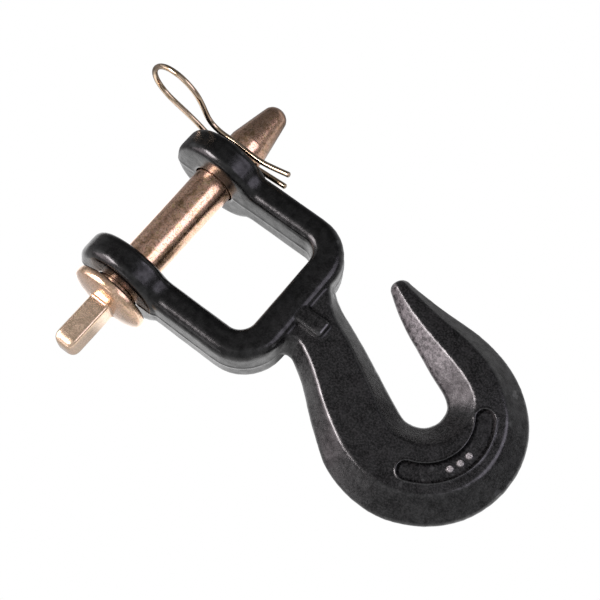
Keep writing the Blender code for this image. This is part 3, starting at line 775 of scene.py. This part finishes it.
def floor_light(n):
    """Strength of the light that the sheet sends up to the object.

    It is bright under and beside the object, with a soft shadow inside the fork, less in front
    of the fork, and little behind the ears and far away.
    """
    x = n.axis("X")
    y = n.axis("Y")
    from_left = n.vector_maths("SUBTRACT", n.place, POOL_LEFT_POINT)
    past_line = n.vector_maths("DOT_PRODUCT", from_left, POOL_LEFT_NORMAL, "Value")
    beside = n.maths("MAXIMUM", n.fade(past_line, 0.0, 2.0 * POOL_FADE),
                     n.fade(x, POOL_LEFT_END_X, 2.0 * POOL_FADE))
    in_front = n.between(n.fade(x, POOL_FRONT_X, 2.0 * POOL_FADE), POOL_COLLAR_SHARE,
                         POOL_FRONT_SHARE)
    front = n.maths("MAXIMUM", n.fade(y, POOL_FRONT_Y, POOL_FADE), in_front)
    back = n.between(n.fade(y, POOL_BACK_Y, 2.0 * POOL_FADE), 1.0, POOL_BACK_SHARE)
    offset = n.vector_maths("SUBTRACT", n.place, POOL_MIDDLE)
    from_middle = n.vector_maths("LENGTH", offset, output="Value")
    far = n.between(n.fade(from_middle, POOL_REACH, POOL_REACH_FADE), 1.0, POOL_FAR_SHARE)
    offset = n.vector_maths("SUBTRACT", n.place, SHADOW_CENTRE)
    from_shadow = n.vector_maths("DIVIDE", offset, SHADOW_REACH)
    share = n.fade(n.vector_maths("LENGTH", from_shadow, output="Value"), 1.0, SHADOW_FADE)
    for part in (beside, front, back, far):
        share = n.maths("MULTIPLY", share, part)
    return n.between(share, POOL_DIM, POOL_GLOW)


def floor():
    """Plain white sheet under the hook, resting against the ears and the underside of the bowl."""
    ears_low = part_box("hook_forging")[0].z
    slope = math.atan2(-HOOK_FACE_Z - ears_low, FLOOR_BOWL_X - PIN_AXIS_X)
    builder = bmesh.new()
    bmesh.ops.create_grid(builder, x_segments=FLOOR_SEGMENTS, y_segments=FLOOR_SEGMENTS,
                          size=FLOOR_HALF_SIZE)
    mesh = bpy.data.meshes.new("white_floor")
    builder.to_mesh(mesh)
    builder.free()
    made = new_object("white_floor", mesh)
    made.matrix_world = (Matrix.Translation((PIN_AXIS_X, 0.0, ears_low - FLOOR_GAP))
                         @ Matrix.Rotation(-slope, 4, "Y"))
    n = Nodes(bpy.data.materials.new("white_floor_finish"))
    n.shader.inputs["Base Color"].default_value = FLOOR_GREY
    n.shader.inputs["Roughness"].default_value = 0.9
    white = n.add("ShaderNodeEmission")
    pool = n.add("ShaderNodeEmission")
    n.join(floor_light(n), pool.inputs["Strength"])
    lit = n.add("ShaderNodeAddShader")
    n.join(n.shader.outputs[0], lit.inputs[0])
    n.join(pool.outputs[0], lit.inputs[1])
    n.show(white.outputs[0], lit.outputs[0], "Material Output")
    mesh.materials.append(n.owner)


def softbox(name, direction, distance, width, height, radiance, colour):
    """Rectangular area lamp aimed at the object, given by its radiance."""
    lamp = bpy.data.lights.new(name, "AREA")
    lamp.shape = "RECTANGLE"
    lamp.size = width
    lamp.size_y = height
    lamp.energy = radiance * math.pi * width * height
    lamp.color = colour
    made = new_object(name, lamp)
    toward = Vector(direction).normalized()
    made.location = LOOK_AT + toward * distance
    made.rotation_euler = toward.to_track_quat("Z", "Y").to_euler()


def studio():
    """White surroundings for the camera, a dim room with soft glows for the object, and lamps."""
    world = bpy.data.worlds.new("studio")
    bpy.context.scene.world = world
    n = Nodes(world, "Background", "Generated")
    n.shader.inputs["Color"].default_value = ROOM_COLOUR
    total = ROOM_DIM
    for direction, start, end, amount in ROOM_GLOWS:
        facing = n.vector_maths("DOT_PRODUCT", n.place, Vector(direction).normalized(), "Value")
        total = n.maths("ADD", n.rise(facing, start, end, amount), total)
    n.join(total, n.shader.inputs["Strength"])
    white = n.add("ShaderNodeBackground")
    white.inputs["Color"].default_value = WHITE
    white.inputs["Strength"].default_value = WHITE_STRENGTH
    n.show(white.outputs[0], n.shader.outputs[0], "World Output")
    for lamp in LAMPS:
        softbox(*lamp)
    bpy.context.scene.view_settings.view_transform = "Standard"


def camera():
    sideways = Vector((math.cos(CAMERA_AZIMUTH), math.sin(CAMERA_AZIMUTH), 0.0))
    away = Vector((-math.sin(CAMERA_AZIMUTH), math.cos(CAMERA_AZIMUTH), 0.0))
    level = Vector((0.0, 0.0, 1.0))
    back = -math.cos(CAMERA_ELEVATION) * away + math.sin(CAMERA_ELEVATION) * level
    above = math.sin(CAMERA_ELEVATION) * away + math.cos(CAMERA_ELEVATION) * level
    right = math.cos(CAMERA_ROLL) * sideways + math.sin(CAMERA_ROLL) * above
    top = math.cos(CAMERA_ROLL) * above - math.sin(CAMERA_ROLL) * sideways
    data = bpy.data.cameras.new("camera")
    data.sensor_width = SENSOR_WIDTH
    data.lens = CAMERA_LENS
    data.clip_start = CAMERA_NEAR
    made = new_object("camera", data)
    turned = Matrix((right, top, back)).transposed().to_4x4()
    made.matrix_world = Matrix.Translation(LOOK_AT + back * CAMERA_DISTANCE) @ turned
    bpy.context.scene.camera = made


camera()
studio()
floor()
forging_piece()
pin_piece()
clip_piece()
